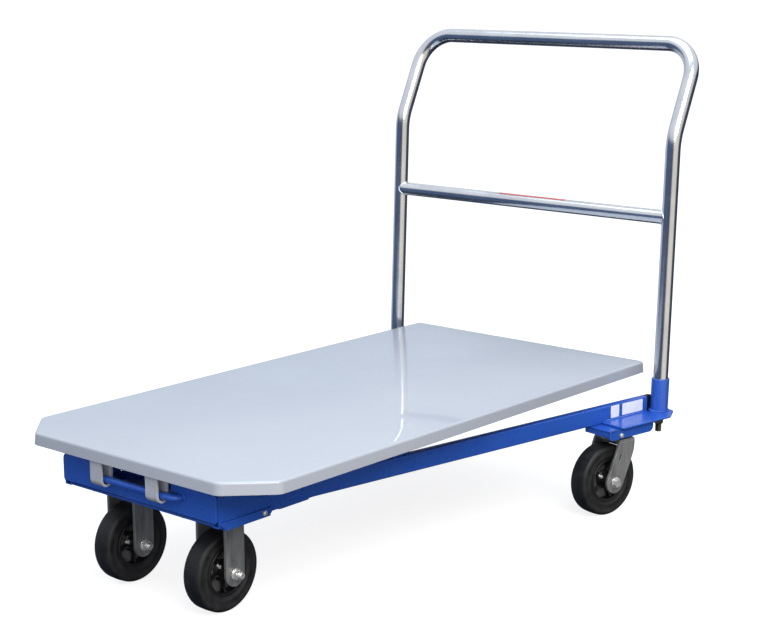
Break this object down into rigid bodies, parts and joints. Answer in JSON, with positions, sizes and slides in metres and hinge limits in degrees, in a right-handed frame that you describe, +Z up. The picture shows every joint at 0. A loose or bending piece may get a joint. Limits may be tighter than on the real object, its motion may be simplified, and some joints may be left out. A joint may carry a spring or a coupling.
{
  "type": "nestable platform trolley",
  "caption": "Nestable platform trolley with a tilting pressed-steel deck on a wedge-shaped blue frame, a chromed tube push handle, rigid front casters and swivel rear casters.",
  "frame": {"origin": "floor level below the middle of the bounding box", "axes": "+Z up, +Y from the hinged front towards the push handle at the rear, +X to the right when looking along +Y"},
  "size_m": [0.8268, 1.326, 0.985],
  "materials": {
    "deck_paint": "gloss light grey-blue powder coat",
    "hook_paint": "satin grey paint",
    "frame_paint": "gloss blue powder coat",
    "handle_chrome": "bright chrome on tube",
    "caster_steel": "dull zinc plate",
    "zinc_hardware": "zinc plate",
    "wheel_iron": "black painted casting",
    "tyre_rubber": "matte",
    "black_rubber": "matte"
  },
  "bodies": {
    "frame": {"axle_plate_bolt_left": "zinc_hardware", "axle_plate_bolt_right": "zinc_hardware", "caster_tray_bolt_left": "zinc_hardware", "caster_tray_bolt_right": "zinc_hardware", "deck_rest_bar": "frame_paint", "deck_rest_pad": "black_rubber", "front_axle_plate": "frame_paint", "front_left_axle_bolt": "zinc_hardware", "front_left_axle_nut": "zinc_hardware", "front_left_axle_sleeve": "zinc_hardware", "front_left_fork": "caster_steel", "front_plate": "frame_paint", "front_right_axle_bolt": "zinc_hardware", "front_right_axle_nut": "zinc_hardware", "front_right_axle_sleeve": "zinc_hardware", "front_right_fork": "caster_steel", "handle_bolt_left": "zinc_hardware", "handle_bolt_right": "zinc_hardware", "handle_crossbar": "handle_chrome", "handle_socket_left": "frame_paint", "handle_socket_right": "frame_paint", "hinge_rod": "frame_paint", "kink_cross_plate": "frame_paint", "push_handle": "handle_chrome", "rail_bumper_left": "black_rubber", "rail_bumper_right": "black_rubber", "rail_left": "frame_paint", "rail_right": "frame_paint", "rear_caster_tray_left": "frame_paint", "rear_caster_tray_right": "frame_paint", "rear_left_kingpin": "zinc_hardware", "rear_left_swivel_plate": "caster_steel", "rear_right_kingpin": "zinc_hardware", "rear_right_swivel_plate": "caster_steel", "socket_plate_left": "frame_paint", "socket_plate_right": "frame_paint"},
    "deck": {"deck_pan": "deck_paint", "deck_stiffener_left": "deck_paint", "deck_stiffener_right": "deck_paint", "hinge_hook_left": "hook_paint", "hinge_hook_right": "hook_paint"},
    "front_left_wheel": {"front_left_tyre": "tyre_rubber", "front_left_wheel_core": "wheel_iron"},
    "front_right_wheel": {"front_right_tyre": "tyre_rubber", "front_right_wheel_core": "wheel_iron"},
    "rear_left_wheel": {"rear_left_tyre": "tyre_rubber", "rear_left_wheel_core": "wheel_iron"},
    "rear_right_wheel": {"rear_right_tyre": "tyre_rubber", "rear_right_wheel_core": "wheel_iron"},
    "rear_left_swivel": {"rear_left_fork": "caster_steel", "rear_left_axle_bolt": "zinc_hardware", "rear_left_axle_nut": "zinc_hardware", "rear_left_axle_sleeve": "zinc_hardware"},
    "rear_right_swivel": {"rear_right_fork": "caster_steel", "rear_right_axle_bolt": "zinc_hardware", "rear_right_axle_nut": "zinc_hardware", "rear_right_axle_sleeve": "zinc_hardware"}
  },
  "joints": [
    {"name": "deck_tilt", "type": "hinge", "parent": "frame", "child": "deck", "pos_m": [0, -0.6461, 0.233], "axis": [1, 0, 0], "range_deg": [0, 70]},
    {"name": "front_left_wheel_spin", "type": "hinge", "parent": "frame", "child": "front_left_wheel", "pos_m": [-0.12, -0.5412, 0.0762], "axis": [1, 0, 0], "continuous": true},
    {"name": "front_right_wheel_spin", "type": "hinge", "parent": "frame", "child": "front_right_wheel", "pos_m": [0.12, -0.5412, 0.0762], "axis": [1, 0, 0], "continuous": true},
    {"name": "rear_left_swivel_turn", "type": "hinge", "parent": "frame", "child": "rear_left_swivel", "pos_m": [-0.3473, 0.4018, 0.162], "axis": [0, 0, 1], "continuous": true},
    {"name": "rear_left_wheel_spin", "type": "hinge", "parent": "rear_left_swivel", "child": "rear_left_wheel", "pos_m": [-0.35324, 0.36427, 0.0762], "axis": [0.9877, -0.1564, 0], "continuous": true},
    {"name": "rear_right_swivel_turn", "type": "hinge", "parent": "frame", "child": "rear_right_swivel", "pos_m": [0.3473, 0.4018, 0.162], "axis": [0, 0, 1], "continuous": true},
    {"name": "rear_right_wheel_spin", "type": "hinge", "parent": "rear_right_swivel", "child": "rear_right_wheel", "pos_m": [0.33908, 0.3647, 0.0762], "axis": [0.9763, -0.2164, 0], "continuous": true}
  ]
}
